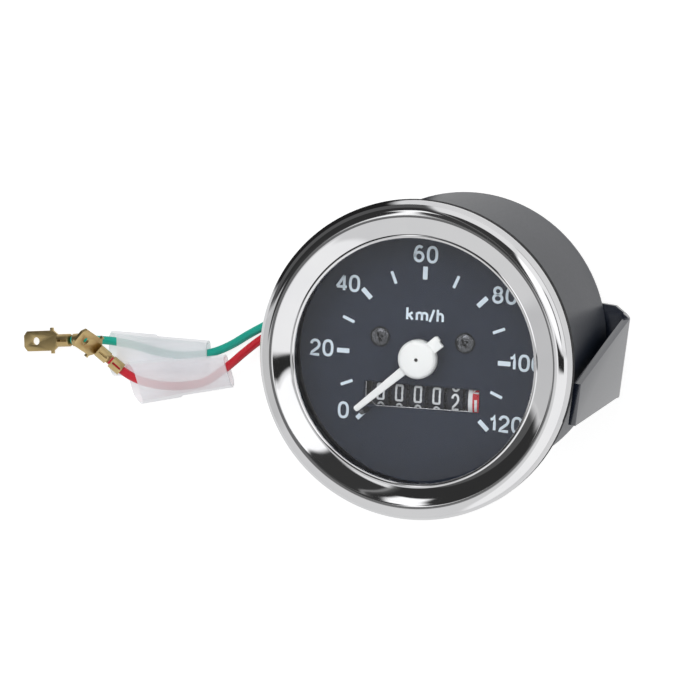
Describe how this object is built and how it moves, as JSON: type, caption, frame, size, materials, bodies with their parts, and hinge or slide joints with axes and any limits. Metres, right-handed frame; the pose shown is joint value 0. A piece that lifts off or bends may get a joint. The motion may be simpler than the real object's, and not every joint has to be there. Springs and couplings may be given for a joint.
{
  "type": "motorcycle speedometer",
  "caption": "Round cable-driven speedometer with chrome bezel, odometer drums, steel casing cup, U-shaped clamp bracket and lamp leads.",
  "frame": {"origin": "on the needle axis, in the plane of the spigot's end, which the object stands on", "axes": "+X to the right on the dial, +Y up the dial, +Z out of the dial along the needle axis"},
  "size_m": [0.143, 0.064, 0.0613],
  "materials": {
    "chrome": "polished chrome plate",
    "glass": "clear flat glass",
    "black_rubber": "matt black rubber",
    "black_plastic": "matt black",
    "casing_black": "satin black enamel",
    "bracket_black": "satin black enamel",
    "dial_black": "matt charcoal print",
    "blackened_steel": "blackened",
    "steel": "turned",
    "zinc_plate": "zinc plated",
    "brass": "turned",
    "terminal_brass": "stamped, slightly tarnished",
    "needle_white": "white",
    "alloy": "die-cast",
    "thin_aluminium": "drawn sheet",
    "magnet_grey": "sintered",
    "gear_plastic": "natural",
    "drum_black": "black",
    "drum_red": "red",
    "bulb_glass": "clear with a metal cap",
    "green_insulation": "soft vinyl, semi-gloss",
    "red_insulation": "soft vinyl, semi-gloss",
    "sleeve_milky": "translucent milky vinyl"
  },
  "bodies": {
    "case": {"bezel": "chrome", "lens": "glass", "lens_seal": "black_rubber", "spacer_ring": "black_plastic", "panel_gasket": "black_rubber", "casing": "casing_black", "dial": "dial_black", "dial_screws": "blackened_steel", "dial_posts": "brass", "stop_pin": "steel", "hairspring_lever": "brass", "flux_ring": "steel", "drive_bush": "brass", "drive_connector": "alloy", "base_plate": "alloy", "pillars": "brass", "bridge_plate": "alloy", "bridge_screws": "steel", "odometer_frame": "steel", "pinion_shaft": "steel", "bracket": "bracket_black", "studs": "zinc_plate", "stud_nuts": "zinc_plate", "stud_washers": "zinc_plate", "lamp_holder": "black_rubber", "lamp_contact": "zinc_plate", "bulb": "bulb_glass", "wire_green": "green_insulation", "wire_red": "red_insulation", "terminal_green": "terminal_brass", "terminal_red": "terminal_brass", "sleeve_green": "sleeve_milky", "sleeve_red": "sleeve_milky"},
    "needle": {"pointer": "needle_white", "pointer_spindle": "steel", "speed_cup": "thin_aluminium", "hairspring": "brass"},
    "drive": {"drive_shaft": "steel", "magnet": "magnet_grey"},
    "cross": {"cross_shaft": "steel", "cross_wheel": "gear_plastic", "cross_worm": "gear_plastic"},
    "upright": {"upright_shaft": "steel", "upright_wheel": "gear_plastic", "upright_worm": "gear_plastic"},
    "tenths": {"odometer_shaft": "steel", "odometer_wheel": "gear_plastic", "drum_6": "drum_red"},
    "digit_5": {"drum_5": "drum_black"},
    "carry_5": {"pinion_5": "gear_plastic"},
    "digit_4": {"drum_4": "drum_black"},
    "carry_4": {"pinion_4": "gear_plastic"},
    "digit_3": {"drum_3": "drum_black"},
    "carry_3": {"pinion_3": "gear_plastic"},
    "digit_2": {"drum_2": "drum_black"},
    "carry_2": {"pinion_2": "gear_plastic"},
    "digit_1": {"drum_1": "drum_black"},
    "carry_1": {"pinion_1": "gear_plastic"}
  },
  "joints": [
    {"name": "needle_sweep", "type": "hinge", "parent": "case", "child": "needle", "pos_m": [0, 0, 0.052], "axis": [0, 0, -1], "range_deg": [0, 267], "stiffness_Nm_per_rad": 0.000002, "springref_deg": -5.73, "deforming": ["hairspring"]},
    {"name": "drive_spin", "type": "hinge", "parent": "case", "child": "drive", "pos_m": [0, 0, 0.015], "axis": [0, 0, -1], "continuous": true},
    {"name": "cross_spin", "type": "hinge", "parent": "case", "child": "cross", "pos_m": [0.009, -0.0057, 0.0228], "axis": [1, 0, 0], "continuous": true},
    {"name": "upright_spin", "type": "hinge", "parent": "case", "child": "upright", "pos_m": [0.0168, -0.0132, 0.033], "axis": [0, 0, 1], "continuous": true},
    {"name": "tenths_spin", "type": "hinge", "parent": "case", "child": "tenths", "pos_m": [0.001, -0.0082, 0.0444], "axis": [1, 0, 0], "continuous": true},
    {"name": "digit_5_spin", "type": "hinge", "parent": "case", "child": "digit_5", "pos_m": [0.00685, -0.0082, 0.0444], "axis": [1, 0, 0], "continuous": true},
    {"name": "carry_5_spin", "type": "hinge", "parent": "case", "child": "carry_5", "pos_m": [0.0088, -0.01537, 0.04179], "axis": [1, 0, 0], "continuous": true},
    {"name": "digit_4_spin", "type": "hinge", "parent": "case", "child": "digit_4", "pos_m": [0.00295, -0.0082, 0.0444], "axis": [1, 0, 0], "continuous": true},
    {"name": "carry_4_spin", "type": "hinge", "parent": "case", "child": "carry_4", "pos_m": [0.0049, -0.01537, 0.04179], "axis": [1, 0, 0], "continuous": true},
    {"name": "digit_3_spin", "type": "hinge", "parent": "case", "child": "digit_3", "pos_m": [-0.00095, -0.0082, 0.0444], "axis": [1, 0, 0], "continuous": true},
    {"name": "carry_3_spin", "type": "hinge", "parent": "case", "child": "carry_3", "pos_m": [0.001, -0.01537, 0.04179], "axis": [1, 0, 0], "continuous": true},
    {"name": "digit_2_spin", "type": "hinge", "parent": "case", "child": "digit_2", "pos_m": [-0.00485, -0.0082, 0.0444], "axis": [1, 0, 0], "continuous": true},
    {"name": "carry_2_spin", "type": "hinge", "parent": "case", "child": "carry_2", "pos_m": [-0.0029, -0.01537, 0.04179], "axis": [1, 0, 0], "continuous": true},
    {"name": "digit_1_spin", "type": "hinge", "parent": "case", "child": "digit_1", "pos_m": [-0.00875, -0.0082, 0.0444], "axis": [1, 0, 0], "continuous": true},
    {"name": "carry_1_spin", "type": "hinge", "parent": "case", "child": "carry_1", "pos_m": [-0.0068, -0.01537, 0.04179], "axis": [1, 0, 0], "continuous": true}
  ],
  "couplings": [
    {"joint": "cross_spin", "follows": "drive_spin", "ratio": 0.1},
    {"joint": "upright_spin", "follows": "drive_spin", "ratio": 0.01},
    {"joint": "tenths_spin", "follows": "drive_spin", "ratio": 0.001},
    {"joint": "digit_5_spin", "follows": "drive_spin", "ratio": 0.0001},
    {"joint": "carry_5_spin", "follows": "drive_spin", "ratio": -0.00025},
    {"joint": "digit_4_spin", "follows": "drive_spin", "ratio": 0.00001},
    {"joint": "carry_4_spin", "follows": "drive_spin", "ratio": -0.000025},
    {"joint": "digit_3_spin", "follows": "drive_spin", "ratio": 0.000001},
    {"joint": "carry_3_spin", "follows": "drive_spin", "ratio": -0.0000025},
    {"joint": "digit_2_spin", "follows": "drive_spin", "ratio": 0.0000001},
    {"joint": "carry_2_spin", "follows": "drive_spin", "ratio": -0.00000025},
    {"joint": "digit_1_spin", "follows": "drive_spin", "ratio": 0.00000001},
    {"joint": "carry_1_spin", "follows": "drive_spin", "ratio": -0.000000025}
  ]
}
